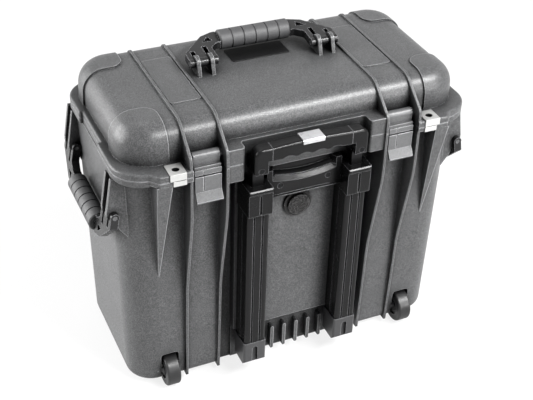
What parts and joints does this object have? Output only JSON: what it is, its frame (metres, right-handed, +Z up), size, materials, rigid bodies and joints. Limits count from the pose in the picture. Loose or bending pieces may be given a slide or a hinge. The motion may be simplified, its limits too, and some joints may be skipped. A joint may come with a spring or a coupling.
{
  "type": "laptop hard case",
  "caption": "Tall hard-shell case with a hinged domed lid, draw latches, folding side and top handles, a telescopic front trolley handle and corner wheels.",
  "frame": {"origin": "on the floor, under the middle of the whole case", "axes": "+X to the right seen from the front, +Y to the back where the lid's hinges are, +Z up"},
  "size_m": [0.5428, 0.2978, 0.4565],
  "materials": {
    "shell": "fine-grained moulded, satin",
    "foam": "open-cell foam",
    "seal_rubber": "soft, matt",
    "steel": "satin",
    "latch": "moulded, satin",
    "handle": "moulded, satin",
    "grip_rubber": "soft, matt",
    "trolley": "moulded, satin",
    "tube": "anodised, satin",
    "screw": "satin",
    "button": "silver, satin",
    "tyre": "polyurethane, satin",
    "hub": "moulded, satin",
    "plate": "bright, satin",
    "valve": "moulded, satin",
    "badge": "smooth, satin"
  },
  "bodies": {
    "base": {"base_shell": "shell", "base_foam": "foam", "hinge_pin_left": "steel", "hinge_pin_right": "steel", "side_handle_pins_left": "steel", "side_handle_pins_right": "steel", "trolley_rail_left": "trolley", "trolley_rail_right": "trolley", "trolley_foot_left": "trolley", "trolley_foot_right": "trolley", "trolley_collar_left": "trolley", "trolley_collar_right": "trolley", "trolley_cross_plate": "trolley", "cross_plate_screws": "screw", "wheel_axle_left": "steel", "wheel_axle_right": "steel", "padlock_plates_base": "plate", "valve_body": "valve", "valve_cap": "valve", "valve_seal": "seal_rubber", "valve_nut": "hub"},
    "lid": {"lid_shell": "shell", "lid_seal": "seal_rubber", "lid_foam": "foam", "latch_pin_left": "steel", "latch_pin_right": "steel", "top_handle_pins": "steel", "padlock_plates_lid": "plate", "name_plate": "badge"},
    "top_handle": {"top_handle_frame": "handle", "top_handle_grip": "grip_rubber"},
    "trolley_mid": {"mid_tube_left": "tube", "mid_tube_right": "tube"},
    "trolley_inner": {"inner_tube_left": "tube", "inner_tube_right": "tube", "trolley_grip": "trolley", "trolley_grip_corner_left": "trolley", "trolley_grip_corner_right": "trolley", "grip_screws": "screw", "button_spring": "steel"},
    "release_button": {"trolley_button": "button", "release_linkage": "steel"},
    "latch_link_left": {"latch_link_left": "latch", "lever_pin_left": "steel"},
    "latch_lever_left": {"latch_lever_left": "latch"},
    "side_handle_left": {"side_handle_frame_left": "handle", "side_handle_grip_left": "grip_rubber"},
    "wheel_left": {"wheel_tyre_left": "tyre", "wheel_hub_left": "hub", "wheel_bearings_left": "steel"},
    "latch_link_right": {"latch_link_right": "latch", "lever_pin_right": "steel"},
    "latch_lever_right": {"latch_lever_right": "latch"},
    "side_handle_right": {"side_handle_frame_right": "handle", "side_handle_grip_right": "grip_rubber"},
    "wheel_right": {"wheel_tyre_right": "tyre", "wheel_hub_right": "hub", "wheel_bearings_right": "steel"}
  },
  "joints": [
    {"name": "lid_hinge", "type": "hinge", "parent": "base", "child": "lid", "pos_m": [0, 0.141, 0.368], "axis": [-1, 0, 0], "range_deg": [0, 105]},
    {"name": "top_handle_fold", "type": "hinge", "parent": "lid", "child": "top_handle", "pos_m": [0, 0.012, 0.438], "axis": [1, 0, 0], "range_deg": [0, 110]},
    {"name": "trolley_lower_slide", "type": "slide", "parent": "base", "child": "trolley_mid", "axis": [0, 0, 1], "range_m": [0, 0.21]},
    {"name": "trolley_upper_slide", "type": "slide", "parent": "trolley_mid", "child": "trolley_inner", "axis": [0, 0, 1], "range_m": [0, 0.21]},
    {"name": "release_button_press", "type": "slide", "parent": "trolley_inner", "child": "release_button", "axis": [0, 0, -1], "range_m": [0, 0.003], "stiffness_N_per_m": 900, "springref_m": -0.004, "deforming": ["button_spring"]},
    {"name": "latch_left_link", "type": "hinge", "parent": "lid", "child": "latch_link_left", "pos_m": [-0.1365, -0.1195, 0.384], "axis": [-1, 0, 0], "range_deg": [0, 100]},
    {"name": "latch_left_lever", "type": "hinge", "parent": "latch_link_left", "child": "latch_lever_left", "pos_m": [-0.1365, -0.1265, 0.3575], "axis": [-1, 0, 0], "range_deg": [0, 75]},
    {"name": "side_handle_left_swing", "type": "hinge", "parent": "base", "child": "side_handle_left", "pos_m": [-0.2505, 0.004, 0.305], "axis": [0, 1, 0], "range_deg": [0, 90]},
    {"name": "wheel_left_spin", "type": "hinge", "parent": "base", "child": "wheel_left", "pos_m": [-0.185, -0.101, 0.025], "axis": [1, 0, 0], "continuous": true},
    {"name": "latch_right_link", "type": "hinge", "parent": "lid", "child": "latch_link_right", "pos_m": [0.1365, -0.1195, 0.384], "axis": [-1, 0, 0], "range_deg": [0, 100]},
    {"name": "latch_right_lever", "type": "hinge", "parent": "latch_link_right", "child": "latch_lever_right", "pos_m": [0.1365, -0.1265, 0.3575], "axis": [-1, 0, 0], "range_deg": [0, 75]},
    {"name": "side_handle_right_swing", "type": "hinge", "parent": "base", "child": "side_handle_right", "pos_m": [0.2505, 0.004, 0.305], "axis": [0, -1, 0], "range_deg": [0, 90]},
    {"name": "wheel_right_spin", "type": "hinge", "parent": "base", "child": "wheel_right", "pos_m": [0.185, -0.101, 0.025], "axis": [1, 0, 0], "continuous": true}
  ]
}
